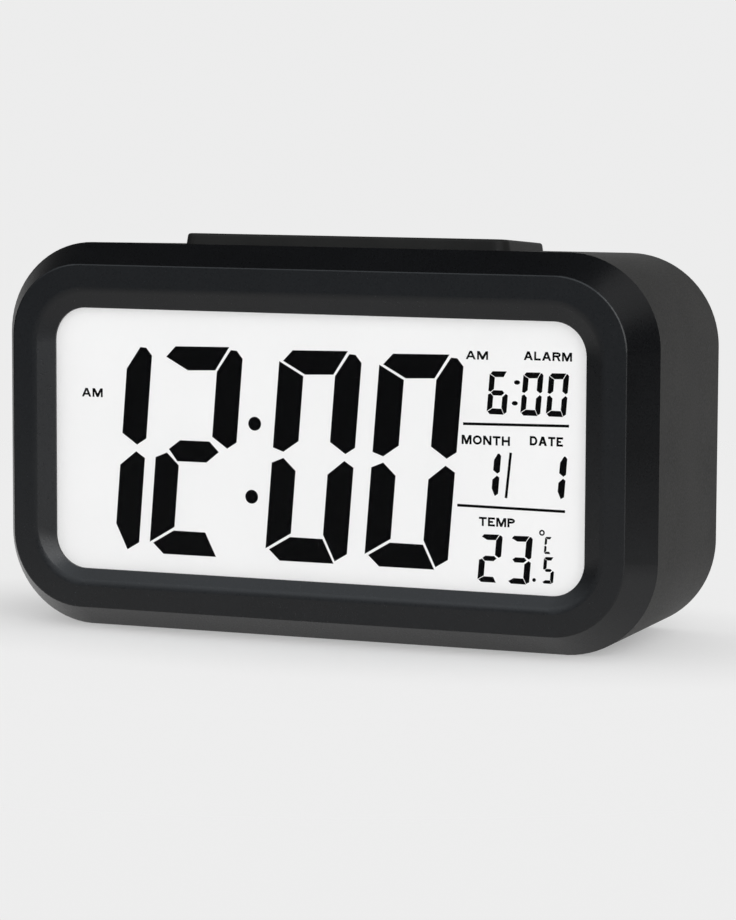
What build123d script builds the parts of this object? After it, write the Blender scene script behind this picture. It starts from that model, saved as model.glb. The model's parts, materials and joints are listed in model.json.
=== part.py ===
from build123d import *
import math
import os

# Digital alarm clock, in millimetres. X runs to the right seen from the front, the front faces -Y,
# +Z is up. The origin is the middle of the underside.

# Body: a rounded box whose top comes down and whose sides draw in a little toward the rear
body_width = 135.0
body_height = 75.8
body_depth = 48.0
corner_radius = 18.1
top_fall = 1.7
side_taper = 0.6
wall = 2.4
rear_edge_radius = 0.8
underside_shave = 0.01
seam_gap = 0.15

# Front bezel: taper, flat ring and sloping recess round the window
bevel_depth = 7.3
bevel_side = 4.2
bevel_bottom = 4.35
bevel_top = 4.05
ring_side = 4.55
ring_bottom = 4.85
ring_top = 4.95
ring_corner = 14.4
ring_edge_radius = 0.35
slope_side = 3.8
slope_bottom = 2.6
slope_top = 3.6
recess_corner = 10.8
recess_depth = 1.7
recess_edge_radius = 2.5
window_corner = 6.5
lip_depth = 0.5
bezel_inset = 4.6
skirt_depth = 3.0
skirt_gap = 0.05
snap_length = 10.0
snap_width = 1.0
snap_height = 0.5
snap_x = 32.0

# Display sandwich, front to rear
lens_thickness = 1.2
lens_overlap = 2.4
lens_air_gap = 0.3
glass_thickness = 1.1
glass_margin_x = 1.35
glass_margin_z = 2.1
contact_ledge = 2.4
guide_thickness = 2.5
guide_margin_x = 3.3
reflector_thickness = 1.2
part_gap = 0.15
frame_wall = 1.2
connector_inset = 6.3
connector_thickness = 1.8
lamp_length = 2.5
lamp_width = 4.0
lamp_height = 3.0
lamp_spread_z = 14.0

# Main board and what it carries
board_thickness = 1.2
board_edge_gap = 0.4
board_above_base = 8.7
board_below_top = 8.5
board_corner = 9.0
post_radius = 2.2
post_spread_z = 14.0
post_web = 1.6
chip_x = 8.0
chip_below_centre = 4.0
chip_radius = 7.0
chip_height = 1.8
crystal_from_edge = 38.5
crystal_above_centre = 12.0
crystal_radius = 1.0
crystal_length = 6.0
crystal_edge = 0.25
capacitor_from_edge = 26.5
capacitor_above_centre = 10.0
capacitor_radius = 2.5
capacitor_height = 7.0
capacitor_edge = 0.4

# Screws
small_shank_radius = 0.75
small_head_radius = 1.9
small_head_height = 1.2
small_screw_length = 6.0
screw_run_out = 0.6
thread_gap = 0.05
board_hole_gap = 0.3
case_shank_radius = 1.0
case_head_radius = 2.1
case_head_height = 1.2
case_screw_length = 10.0
head_gap = 0.25
head_sink = 0.1
case_boss_radius = 3.2
case_boss_length = 20.0
case_screw_from_corner = 11.6
boss_rib = 1.8

# Snooze bar on top
bar_length = 68.2
bar_width = 24.0
bar_corner = 3.0
bar_y = 3.3
bar_proud = 1.85
bar_top_fall = 1.7
bar_draft = 9.0
bar_gap = 0.3
bar_wall = 1.8
bar_flange = 1.6
bar_flange_thickness = 1.5
bar_edge_radius = 0.6
bar_travel = 1.0
sleeve_from_end = 5.3
sleeve_radius = 3.0
sleeve_bore = 1.5
sleeve_height = 5.4
ledge_below_roof = 12.2
ledge_thickness = 1.6
ledge_width = 10.0

# Snooze switch on the top edge of the main board
snooze_switch_width = 6.0
snooze_switch_depth = 4.3
snooze_switch_height = 4.5
snooze_stem_radius = 1.4
snooze_stem_proud = 1.9
snooze_stem_sunk = 2.6
stem_gap = 0.05
stem_run_out = 0.3

# Rear cover and its row of controls
cover_thickness = 2.4
row_below_top = 13.8
row_pitch = 14.0
control_recess_depth = 1.3
control_recess_height = 11.2
control_recess_corner = 3.0
control_recess_margin = 7.0
button_width = 9.4
button_height = 5.4
button_corner = 1.6
button_gap = 0.2
button_below_rear = 0.3
button_edge_radius = 0.3
button_flange = 1.3
button_flange_thickness = 0.9
button_travel = 0.5
button_plunger_radius = 1.4
button_plunger_length = 1.3

# Key board behind the controls
key_board_stand_off = 8.1
key_board_height = 12.0
key_board_corner = 1.5
key_board_boss_gap = 0.6
key_screw_from_edge = 3.3
key_boss_radius = 2.4
key_switch_size = 6.0
key_switch_height = 3.5
key_stem_radius = 1.6
key_stem_sunk = 1.8

# Alarm slide switch
slide_travel = 3.0
slide_case_length = 8.6
slide_case_width = 4.4
slide_case_height = 3.6
slide_case_floor = 1.0
lever_size = 1.5
lever_gap = 0.2
lever_socket = 0.7
knob_length = 4.0
knob_width = 3.4
knob_gap = 0.2
knob_cover_lap = 1.5
knob_grooves = 2
knob_groove_width = 0.5
knob_groove_depth = 0.4

# Thermistor and its vent slots
thermistor_from_key = 11.5
thermistor_bead_radius = 1.2
thermistor_stand_off = 4.0
thermistor_lead_radius = 0.25
thermistor_lead_spread = 1.2
vent_count = 3
vent_pitch = 2.5
vent_width = 1.2
vent_length = 8.0

# Battery bay, cells, contacts
cell_diameter = 10.5
cell_length = 44.5
cell_nub_radius = 1.9
cell_nub_length = 0.8
cell_edge = 0.4
cell_pitch = 11.0
cell_count = 3
cell_clearance = 0.15
bay_length = 50.0
bay_wall = 1.6
bay_drop = 1.4
contact_thickness = 0.4
contact_size = 8.4
leaf_width = 5.0
leaf_gap = 0.1
leaf_bend = 1.5
leaf_tip_lift = 0.8
tab_width = 2.4
tab_reach = 1.8

# Battery door: half-round lower edge on two stub pins, spring latch at the top
door_thickness = 2.2
door_gap = 0.3
door_seat_gap = 0.1
door_ledge_x = 2.3
door_ledge_bottom = 2.5
door_ledge_top = 4.5
tray_wall = 2.0
tray_floor = 1.6
pin_radius = 0.6
pin_gap = 0.05
pin_length = 1.2
door_grip_count = 3
door_grip_from_edge = 3.0
door_grip_pitch = 2.0
door_grip_length = 12.0
door_grip_width = 0.8
door_grip_depth = 0.4
latch_width = 8.0
latch_thickness = 1.0
latch_reach = 5.8
latch_leg_inset = 1.1
latch_span = 1.9
latch_hook = 2.4
latch_hook_thickness = 1.2
latch_catch = 0.9
latch_tab_below_rear = 0.4
notch_margin = 1.2

# Buzzer with its ring and sound slots
buzzer_from_side = 21.5
buzzer_z = 30.0
buzzer_radius = 10.6
buzzer_thickness = 0.3
ceramic_radius = 7.0
ceramic_thickness = 0.25
buzzer_ring_radius = 11.4
buzzer_ring_wall = 2.0
buzzer_ring_height = 3.1
sound_slot_width = 1.4
sound_slot_pitch = 2.8
sound_slot_rows = 5
sound_field_radius = 7.8

# Leads and the flat cable
lead_radius = 0.6
thin_lead_radius = 0.4
lead_bend_share = 0.45
cable_x = -20.0
cable_width = 8.0
cable_thickness = 0.3
cable_key_drop = 2.5
cable_board_drop = 6.5
cable_straight = 6.0
cable_bend = 5.0
lead_straight_share = 0.27
battery_lead_x = 20.0
battery_lead_drift_z = 2.0
buzzer_lead_drift = 3.0

# Levels that follow from the sizes above
ring_width = body_width - 2 * bevel_side
ring_low_z = bevel_bottom
ring_high_z = body_height - bevel_top
recess_width = ring_width - 2 * ring_side
recess_low_z = ring_low_z + ring_bottom
recess_high_z = ring_high_z - ring_top
window_width = recess_width - 2 * slope_side
window_low_z = recess_low_z + slope_bottom
window_high_z = recess_high_z - slope_top
window_height = window_high_z - window_low_z
window_centre_z = (window_low_z + window_high_z) / 2

front_y = -body_depth / 2
rear_y = body_depth / 2
edge_y = front_y + bevel_depth
lens_y = front_y + recess_depth + lip_depth
lens_rear_y = lens_y + lens_thickness
front_glass_y = lens_rear_y + lens_air_gap
rear_glass_y = front_glass_y + glass_thickness
guide_y = rear_glass_y + glass_thickness
reflector_y = guide_y + guide_thickness
board_y = reflector_y + reflector_thickness
board_rear_y = board_y + board_thickness
cover_inner_y = rear_y - cover_thickness
key_board_front_y = cover_inner_y - key_board_stand_off
key_board_y = key_board_front_y + board_thickness
key_switch_y = key_board_y + key_switch_height
control_floor_y = rear_y - control_recess_depth
button_top_y = rear_y - button_below_rear
flange_front_y = cover_inner_y - button_flange_thickness
stem_top_y = flange_front_y - button_plunger_length
row_z = body_height - row_below_top
post_levels = (window_centre_z - post_spread_z, window_centre_z + post_spread_z)
ledge_top_z = body_height - ledge_below_roof
sleeve_x = bar_length / 2 - sleeve_from_end
bar_front_y = bar_y - bar_width / 2
bar_rear_y = bar_y + bar_width / 2

glass_width = window_width + 2 * glass_margin_x
glass_height = window_height + 2 * glass_margin_z
rear_glass_height = glass_height - 2 * contact_ledge
guide_width = glass_width - 2 * guide_margin_x
frame_width = glass_width + 2 * part_gap + 2 * frame_wall
frame_height = glass_height + 2 * part_gap + 2 * frame_wall
connector_length = glass_width - 2 * connector_inset
post_x = frame_width / 2 + part_gap + post_radius

board_width = body_width - 2 * (bezel_inset + board_edge_gap)
board_height = body_height - board_above_base - board_below_top
board_centre_z = board_above_base + board_height / 2
crystal_x = board_width / 2 - crystal_from_edge
capacitor_x = capacitor_from_edge - board_width / 2

control_low_z = row_z - control_recess_height / 2
cell_row_centre_z = (wall + control_low_z) / 2 - bay_drop
cell_levels = [cell_row_centre_z + (i - (cell_count - 1) / 2) * cell_pitch for i in range(cell_count)]
bay_height = (cell_count - 1) * cell_pitch + cell_diameter + 2 * cell_clearance
bay_bottom_z = cell_row_centre_z - bay_height / 2
bay_top_z = cell_row_centre_z + bay_height / 2
seat_width = bay_length + 2 * door_ledge_x
seat_bottom_z = bay_bottom_z - door_ledge_bottom
seat_top_z = bay_top_z + door_ledge_top
door_inner_y = rear_y - door_thickness
seat_y = door_inner_y - door_seat_gap
tray_front_y = seat_y - tray_floor
cell_y = seat_y - cell_clearance - cell_diameter / 2
bay_floor_y = cell_y - cell_diameter / 2 - cell_clearance
bay_front_y = bay_floor_y - bay_wall
tab_front_y = bay_front_y - tab_reach
door_width = seat_width - 2 * door_gap
door_bottom_z = seat_bottom_z + door_gap
door_top_z = seat_top_z - door_gap
hinge_radius = door_thickness / 2
hinge_y = rear_y - hinge_radius
hinge_z = door_bottom_z + hinge_radius
contact_face_x = bay_length / 2

button_xs = [row_pitch * (i - 2) for i in range(4)]
slide_x = 2 * row_pitch
slide_rest_x = slide_x - slide_travel / 2
thermistor_x = button_xs[0] - thermistor_from_key
buzzer_x = buzzer_from_side - body_width / 2
knob_flange_length = knob_length + 2 * (slide_travel + knob_gap) + knob_cover_lap
knob_flange_width = knob_width + 2 * (knob_gap + knob_cover_lap)

# A screw boss stands on the diagonal of each rear corner
corner_step = (corner_radius - case_screw_from_corner) + case_screw_from_corner * (1 - math.sqrt(0.5))
case_screw_x = body_width / 2 - side_taper - corner_step
case_screw_levels = (corner_step, body_height - top_fall - corner_step)
key_board_width = 2 * (case_screw_x - case_boss_radius - key_board_boss_gap)
key_screw_x = key_board_width / 2 - key_screw_from_edge


def facing(y):
    """Sketch plane at depth y whose own axes are X and Z."""
    return Plane.XZ.offset(-y)


def slab(profile, y_front, y_back):
    """Profile drawn in X and Z, filled from y_front back to y_back."""
    return extrude(facing(y_back) * profile, amount=y_back - y_front)


def upright(profile, z_low, z_high):
    """Profile drawn in X and Y, filled from z_low up to z_high."""
    return extrude(Pos(0, 0, z_low) * profile, amount=z_high - z_low)


def across(profile, x_left, x_right):
    """Profile drawn in Y and Z, filled from x_left to x_right."""
    return extrude(Plane.YZ.offset(x_left) * profile, amount=x_right - x_left)


def block(x_range, y_range, z_range):
    """Box between two values on each axis."""
    sizes = [high - low for low, high in (x_range, y_range, z_range)]
    middles = [(low + high) / 2 for low, high in (x_range, y_range, z_range)]
    return Pos(*middles) * Box(*sizes)


def span(middle, size):
    """The two ends of a size laid out evenly about its middle."""
    return (middle - size / 2, middle + size / 2)


def round_bar(x, z, radius, y_front, y_back):
    """Cylinder along Y."""
    return slab(Pos(x, z) * Circle(radius), y_front, y_back)


def both_sides(make):
    """The same shape at the left and at the right."""
    return make(-1) + make(1)


def share_at(y):
    """How far depth y is on the way from the bezel's edge to the rear, from 0 to 1."""
    return (y - edge_y) / (rear_y - edge_y)


def height_at(y):
    """Height of the top of the body at depth y."""
    return body_height - top_fall * share_at(y)


def body_outline(y, inset=0.0):
    """Outline of the body at depth y, drawn in by an even inset."""
    width = body_width - 2 * side_taper * share_at(y)
    height = height_at(y)
    outline = RectangleRounded(width - 2 * inset, height - 2 * inset, corner_radius - inset)
    return facing(y) * Pos(0, height / 2) * outline


def body_block(y_front, y_back, inset=0.0):
    """Solid of the body's own outline between two depths."""
    return loft([body_outline(y_front, inset), body_outline(y_back, inset)], ruled=True)


def roof_plane(lift):
    """Plane along the sloping top of the body, lifted by a height."""
    slope = Vector(0, top_fall, rear_y - edge_y).normalized()
    return Plane(origin=(0, edge_y, body_height + lift), x_dir=(1, 0, 0), z_dir=slope)


def below(shape, lift):
    """What lies below the lifted roof plane."""
    return split(shape, bisect_by=roof_plane(lift), keep=Keep.BOTTOM)


def above(shape, lift):
    """What lies above the lifted roof plane."""
    return split(shape, bisect_by=roof_plane(lift), keep=Keep.TOP)


def rounded(width, height, radius, centre_z, x=0.0):
    """Rounded rectangle in X and Z."""
    return Pos(x, centre_z) * RectangleRounded(width, height, radius)


def window_outline():
    return rounded(window_width, window_height, window_corner, window_centre_z)


def recess_outline():
    middle = (recess_low_z + recess_high_z) / 2
    return rounded(recess_width, recess_high_z - recess_low_z, recess_corner, middle)


def ring_outline():
    middle = (ring_low_z + ring_high_z) / 2
    return rounded(ring_width, ring_high_z - ring_low_z, ring_corner, middle)


# Housing

def snap_ridges(clearance=0.0):
    """Ridges on the bezel skirt that click into grooves of the body shell."""
    y_range = span(edge_y + skirt_depth - snap_width, snap_width + 2 * clearance)
    reach = snap_height + clearance
    low_z = wall + skirt_gap
    high_z = height_at(edge_y + skirt_depth) - wall - skirt_gap
    ridges = Part()
    for x in (-snap_x, snap_x):
        x_range = span(x, snap_length + 2 * clearance)
        ridges += block(x_range, y_range, (low_z - reach, low_z + wall / 2))
        ridges += block(x_range, y_range, (high_z - wall / 2, high_z + reach))
    return ridges


def board_posts():
    """Posts that carry the main board, webbed to the side walls of the bezel."""
    posts = Part()
    wall_x = body_width / 2 - bezel_inset + post_web / 2
    for side in (-1, 1):
        for z in post_levels:
            posts += round_bar(side * post_x, z, post_radius, lens_y - lip_depth, board_y)
            x_range = sorted((side * post_x, side * wall_x))
            posts += block(x_range, (lens_y - lip_depth, board_y), span(z, post_web))
    return posts


def front_bezel():
    taper = loft([body_outline(edge_y), facing(front_y) * ring_outline()], ruled=True)
    ring_edges = taper.faces().sort_by(Axis.Y)[0].edges()
    taper = fillet(ring_edges, ring_edge_radius)
    recess = loft(
        [facing(front_y) * recess_outline(), facing(front_y + recess_depth) * window_outline()],
        ruled=True,
    )
    taper -= recess
    inner_edges = taper.faces().sort_by(Axis.Y)[0].inner_wires()[0].edges()
    taper = fillet(inner_edges, recess_edge_radius)
    taper -= slab(window_outline(), front_y + recess_depth, lens_y)
    cavity = rounded(
        body_width - 2 * bezel_inset,
        body_height - 2 * bezel_inset,
        corner_radius - bezel_inset,
        body_height / 2,
    )
    skirt = body_block(edge_y, edge_y + skirt_depth, wall + skirt_gap) + snap_ridges()
    bezel = taper + skirt - slab(cavity, lens_y, edge_y + skirt_depth)
    bezel += board_posts()
    for side in (-1, 1):
        for z in post_levels:
            pilot = small_shank_radius + thread_gap
            bezel -= round_bar(side * post_x, z, pilot, board_y - small_screw_length, board_y)
    return bezel


def case_bosses():
    """Screw bosses in the four rear corners, each tied to two walls by ribs."""
    y_range = (cover_inner_y - case_boss_length, cover_inner_y)
    bosses = Part()
    for side in (-1, 1):
        x = side * case_screw_x
        wall_x = side * (body_width / 2 - wall / 2)
        for z, wall_z in zip(case_screw_levels, (wall / 2, body_height - top_fall - wall / 2)):
            bosses += round_bar(x, z, case_boss_radius, *y_range)
            bosses += block(sorted((x, wall_x)), y_range, span(z, boss_rib))
            bosses += block(span(x, boss_rib), y_range, sorted((z, wall_z)))
    return bosses & body_block(edge_y, rear_y, wall / 2)


def case_pilots():
    """Pilot holes for the case screws."""
    pilots = Part()
    for x in (-case_screw_x, case_screw_x):
        for z in case_screw_levels:
            pilot = case_shank_radius + thread_gap
            pilots += round_bar(x, z, pilot, cover_inner_y - case_screw_length, cover_inner_y)
    return pilots


def sleeve_ledge(side):
    """Bracket that hangs from the roof beside the bar and carries a return sleeve."""
    inner_x = sleeve_x - sleeve_radius - ledge_thickness
    outer_x = bar_length / 2 + bar_flange + 2 * bar_gap
    y_range = span(bar_y, ledge_width)
    roof_z = height_at(bar_rear_y) - wall / 2
    x_shelf = sorted((side * inner_x, side * (outer_x + ledge_thickness)))
    x_hanger = sorted((side * outer_x, side * (outer_x + ledge_thickness)))
    shelf = block(x_shelf, y_range, (ledge_top_z - ledge_thickness, ledge_top_z))
    hanger = block(x_hanger, y_range, (ledge_top_z - ledge_thickness, roof_z))
    return shelf + hanger


def bar_plan(grow=0.0):
    """Plan of the snooze bar, grown by an even margin."""
    outline = RectangleRounded(bar_length + 2 * grow, bar_width + 2 * grow, bar_corner + grow)
    return Pos(0, bar_y) * outline


def body_shell():
    outer = Pos(0, 0, -underside_shave) * body_block(edge_y, rear_y)
    outer = fillet(outer.faces().sort_by(Axis.Y)[-1].edges(), rear_edge_radius)
    outer = split(outer, bisect_by=Plane.XY, keep=Keep.TOP)
    shell = outer - body_block(edge_y, rear_y, wall)
    shell += case_bosses()
    shell -= case_pilots()
    shell += both_sides(sleeve_ledge)
    shell -= upright(bar_plan(bar_gap), body_height - 2 * wall - top_fall, body_height + wall)
    shell -= snap_ridges(part_gap)
    return shell


# Rear cover

def button_hole(x):
    return rounded(
        button_width + 2 * button_gap,
        button_height + 2 * button_gap,
        button_corner + button_gap,
        row_z,
        x,
    )


def control_recess():
    """Shallow recess that keeps the row of controls below the rear face."""
    left_x = button_xs[0] - control_recess_margin
    right_x = slide_x + control_recess_margin
    outline = rounded(
        right_x - left_x,
        control_recess_height,
        control_recess_corner,
        row_z,
        (left_x + right_x) / 2,
    )
    return slab(outline, control_floor_y, rear_y)


def sound_slots():
    """Slots that fill a round field in front of the buzzer."""
    slots = Part()
    for row in range(sound_slot_rows):
        offset = (row - (sound_slot_rows - 1) / 2) * sound_slot_pitch
        length = 2 * math.sqrt(sound_field_radius**2 - offset**2)
        slot = Pos(buzzer_x, buzzer_z + offset) * SlotOverall(length, sound_slot_width)
        slots += slab(slot, cover_inner_y, rear_y)
    return slots


def vent_slots():
    """Upright slots that let room air reach the thermistor."""
    slots = Part()
    for i in range(vent_count):
        x = thermistor_x + (i - (vent_count - 1) / 2) * vent_pitch
        slot = Pos(x, row_z) * SlotOverall(vent_length, vent_width, rotation=90)
        slots += slab(slot, cover_inner_y, rear_y)
    return slots


def latch_notch():
    """Notch above the door that the latch springs into."""
    leg_z = bay_top_z + bay_wall
    edge_z = latch_outer_z() + latch_thickness / 2 + latch_hook - latch_catch
    x_range = span(0, latch_width + 2 * notch_margin)
    return block(x_range, (tray_front_y - latch_thickness, rear_y), (leg_z, edge_z))


def rear_cover():
    inset = wall + seam_gap
    cover = body_block(cover_inner_y, rear_y, inset)
    tray_x = span(0, seat_width + 2 * tray_wall)
    tray_z = (seat_bottom_z - tray_wall, seat_top_z + tray_wall)
    bay_x = span(0, bay_length + 2 * bay_wall)
    bay_z = (bay_bottom_z - bay_wall, bay_top_z + bay_wall)
    cover += block(tray_x, (tray_front_y, cover_inner_y), tray_z)
    cover += block(bay_x, (bay_front_y, tray_front_y), bay_z)
    cover -= block(span(0, seat_width), (seat_y, rear_y), (seat_bottom_z, seat_top_z))
    cover -= block(span(0, bay_length), (bay_floor_y, seat_y), (bay_bottom_z, bay_top_z))
    cover -= latch_notch()
    pin_hole = Pos(hinge_y, hinge_z) * Circle(pin_radius + pin_gap)
    hole_end = door_width / 2 + pin_length + pin_gap
    cover -= across(pin_hole, -hole_end, hole_end)
    cover -= control_recess()
    for x in button_xs:
        cover -= slab(button_hole(x), cover_inner_y, control_floor_y)
    knob_slot = Pos(slide_x, row_z) * Rectangle(
        knob_length + slide_travel + 2 * knob_gap, knob_width + 2 * knob_gap
    )
    cover -= slab(knob_slot, cover_inner_y, control_floor_y)
    cover -= sound_slots()
    cover -= vent_slots()
    ring = Circle(buzzer_ring_radius) - Circle(buzzer_ring_radius - buzzer_ring_wall)
    cover += slab(Pos(buzzer_x, buzzer_z) * ring, cover_inner_y - buzzer_ring_height, cover_inner_y)
    for x in (-key_screw_x, key_screw_x):
        cover += round_bar(x, row_z, key_boss_radius, key_board_y, cover_inner_y)
        pilot_end = key_board_y + small_screw_length
        cover -= round_bar(x, row_z, small_shank_radius + thread_gap, key_board_y, pilot_end)
    for x in (-case_screw_x, case_screw_x):
        for z in case_screw_levels:
            sunk_y = rear_y - case_head_height - head_sink
            cover -= round_bar(x, z, case_shank_radius + head_gap, cover_inner_y, rear_y)
            cover -= round_bar(x, z, case_head_radius + head_gap, sunk_y, rear_y)
    return cover - tab_slot(1, cell_levels[0]) - tab_slot(-1, cell_levels[-1])


def tab_slot(side, z):
    """Slot in the end wall of the bay for a contact's solder tab."""
    x_range = sorted((side * contact_face_x, side * (contact_face_x + bay_wall)))
    y_range = span(cell_y, contact_thickness + 2 * part_gap)
    return block(x_range, y_range, span(z, tab_width + 2 * part_gap))


# Battery door

def latch_inner_z():
    """Middle of the latch leg that grows from the door."""
    return door_top_z - latch_leg_inset - latch_thickness / 2


def latch_outer_z():
    """Middle of the springing leg, just above the door."""
    return latch_inner_z() + latch_span + latch_thickness


def battery_door():
    plate = block(
        span(0, door_width), (door_inner_y, rear_y), (hinge_z, door_top_z)
    )
    edge = across(Pos(hinge_y, hinge_z) * Circle(hinge_radius), *span(0, door_width))
    pins = across(
        Pos(hinge_y, hinge_z) * Circle(pin_radius), *span(0, door_width + 2 * pin_length)
    )
    door = plate + edge + pins
    for i in range(door_grip_count):
        z = door_top_z - door_grip_from_edge - i * door_grip_pitch
        groove_y = (rear_y - door_grip_depth, rear_y)
        door -= block(span(0, door_grip_length), groove_y, span(z, door_grip_width))
    return door


def door_latch():
    """U-shaped spring finger with a hook that catches under the edge of the notch."""
    bend_y = door_inner_y - latch_reach
    inner_z = latch_inner_z()
    outer_z = latch_outer_z()
    tab_y = rear_y - latch_tab_below_rear
    middle = (bend_y, (inner_z + outer_z) / 2)
    finger = Line((door_inner_y, inner_z), (bend_y, inner_z))
    finger += CenterArc(middle, (outer_z - inner_z) / 2, 270, -180)
    finger += Line((bend_y, outer_z), (tab_y, outer_z))
    hook_y = cover_inner_y - part_gap - latch_hook_thickness / 2
    hook_z = outer_z + latch_thickness / 2 + latch_hook / 2
    hook = Pos(hook_y, hook_z) * Rectangle(latch_hook_thickness, latch_hook)
    return across(trace(finger, line_width=latch_thickness) + hook, *span(0, latch_width))


# Display

def display_lens():
    outline = rounded(
        window_width + 2 * lens_overlap,
        window_height + 2 * lens_overlap,
        window_corner,
        window_centre_z,
    )
    return slab(outline, lens_y, lens_rear_y)


def centred_plate(width, height, y_front, y_back):
    """Flat plate behind the window."""
    return slab(Pos(0, window_centre_z) * Rectangle(width, height), y_front, y_back)


def lcd_front_glass():
    return centred_plate(glass_width, glass_height, front_glass_y, rear_glass_y)


def lcd_rear_glass():
    return centred_plate(glass_width, rear_glass_height, rear_glass_y, guide_y)


def light_guide():
    return centred_plate(guide_width, rear_glass_height, guide_y, reflector_y)


def reflector():
    return centred_plate(guide_width, rear_glass_height, reflector_y, board_y)


def lcd_frame():
    """Frame round the glass that also holds it off the lens."""
    outer = centred_plate(frame_width, frame_height, lens_rear_y, board_y)
    inner_width = glass_width + 2 * part_gap
    inner_height = glass_height + 2 * part_gap
    return outer - centred_plate(inner_width, inner_height, lens_rear_y, board_y)


def elastomer_connectors():
    """Conductive rubber strips between the glass ledges and the main board."""
    offset = (rear_glass_height + contact_ledge) / 2
    strips = Part()
    for z in (window_centre_z - offset, window_centre_z + offset):
        strips += block(span(0, connector_length), (rear_glass_y, board_y), span(z, connector_thickness))
    return strips


def backlight_lamps():
    """Side-firing lamps at both ends of the light guide."""
    lamps = Part()
    middle_x = guide_width / 2 + 2 * part_gap + lamp_length / 2
    for x in (-middle_x, middle_x):
        for z in (window_centre_z - lamp_spread_z, window_centre_z + lamp_spread_z):
            y_range = (board_y - lamp_height, board_y)
            lamps += block(span(x, lamp_length), y_range, span(z, lamp_width))
    return lamps


# Main board

def main_board():
    outline = rounded(board_width, board_height, board_corner, board_centre_z)
    board = slab(outline, board_y, board_rear_y)
    for x in (-post_x, post_x):
        for z in post_levels:
            hole = small_shank_radius + board_hole_gap
            board -= round_bar(x, z, hole, board_y, board_rear_y)
    return board


def small_screw(x, z, seat_y, direction):
    """Small screw whose head sits on seat_y, its shank running to -Y or to +Y."""
    head_end = seat_y - direction * small_head_height
    shank_end = seat_y + direction * (small_screw_length + board_thickness - screw_run_out)
    head = round_bar(x, z, small_head_radius, *sorted((seat_y, head_end)))
    return head + round_bar(x, z, small_shank_radius, *sorted((seat_y, shank_end)))


def main_board_screws():
    screws = Part()
    for x in (-post_x, post_x):
        for z in post_levels:
            screws += small_screw(x, z, board_rear_y, -1)
    return screws


def controller_cap():
    """Drop of black resin over the bonded controller chip."""
    sphere_radius = (chip_radius**2 + chip_height**2) / (2 * chip_height)
    centre_y = board_rear_y + chip_height - sphere_radius
    drop = Pos(chip_x, centre_y, board_centre_z - chip_below_centre) * Sphere(sphere_radius)
    return split(drop, bisect_by=facing(board_rear_y), keep=Keep.BOTTOM)


def quartz_crystal():
    middle = Pos(board_rear_y + crystal_radius, board_centre_z + crystal_above_centre)
    can = across(middle * Circle(crystal_radius), *span(crystal_x, crystal_length))
    return chamfer(can.edges().filter_by(GeomType.CIRCLE), crystal_edge)


def buffer_capacitor():
    top_y = board_rear_y + capacitor_height
    z = board_centre_z + capacitor_above_centre
    can = round_bar(capacitor_x, z, capacitor_radius, board_rear_y, top_y)
    return chamfer(can.faces().sort_by(Axis.Y)[-1].edges(), capacitor_edge)


# Snooze bar and its switch

def striker():
    """Rib under the front flange that meets the stem of the snooze switch."""
    stem_y = board_rear_y + snooze_switch_depth / 2
    rib_rear_y = max(stem_y + snooze_stem_radius, bar_front_y)
    y_range = (stem_y - snooze_stem_radius, rib_rear_y)
    rib = block(span(0, snooze_switch_width), y_range, (snooze_stem_top(), body_height))
    return below(rib, -wall - bar_flange_thickness / 2)


def snooze_switch_top():
    return board_centre_z + board_height / 2 - part_gap


def snooze_stem_top():
    return snooze_switch_top() + snooze_stem_proud


def under_bar_top(shape, depth=0.0):
    """What lies below the sloping top of the snooze bar, less a depth."""
    slope = Vector(0, bar_top_fall, bar_width).normalized()
    crest = (0, bar_front_y, body_height + bar_proud - depth)
    return split(shape, bisect_by=Plane(crest, x_dir=(1, 0, 0), z_dir=slope), keep=Keep.BOTTOM)


def snooze_bar():
    shoulder_z = height_at(bar_rear_y) - part_gap
    floor_z = ledge_top_z + ledge_thickness
    skin = upright(bar_plan(), floor_z, shoulder_z)
    peak_z = body_height + bar_proud
    skin += extrude(Pos(0, 0, shoulder_z) * bar_plan(), amount=peak_z - shoulder_z, taper=bar_draft)
    skin = under_bar_top(skin)
    skin = fillet(skin.faces().sort_by(Axis.Z)[-1].edges(), bar_edge_radius)
    flange = below(upright(bar_plan(bar_flange), floor_z, body_height), -wall)
    hollow = upright(bar_plan(-bar_wall), floor_z, peak_z)
    bar = skin + flange - under_bar_top(hollow, bar_wall)
    bar = above(bar, -wall - bar_flange_thickness)
    for x in (-sleeve_x, sleeve_x):
        seat = upright(Pos(x, bar_y) * Circle(sleeve_radius), sleeve_top_z(), peak_z)
        bar += under_bar_top(seat, bar_wall / 2)
    return bar + striker()


def sleeve_top_z():
    return ledge_top_z + sleeve_height


def return_sleeves():
    """Rubber sleeves that push the snooze bar back up."""
    ring = Circle(sleeve_radius) - Circle(sleeve_bore)
    sleeves = Part()
    for x in (-sleeve_x, sleeve_x):
        sleeves += upright(Pos(x, bar_y) * ring, ledge_top_z, sleeve_top_z())
    return sleeves


def snooze_switch():
    top_z = snooze_switch_top()
    y_range = (board_rear_y, board_rear_y + snooze_switch_depth)
    body = block(span(0, snooze_switch_width), y_range, (top_z - snooze_switch_height, top_z))
    bore = Pos(0, sum(y_range) / 2) * Circle(snooze_stem_radius + stem_gap)
    bore_depth = snooze_stem_sunk + bar_travel + stem_run_out
    return body - upright(bore, top_z - bore_depth, top_z)


def snooze_stem():
    profile = Pos(0, board_rear_y + snooze_switch_depth / 2) * Circle(snooze_stem_radius)
    return upright(profile, snooze_switch_top() - snooze_stem_sunk, snooze_stem_top())


# Rear controls

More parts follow.
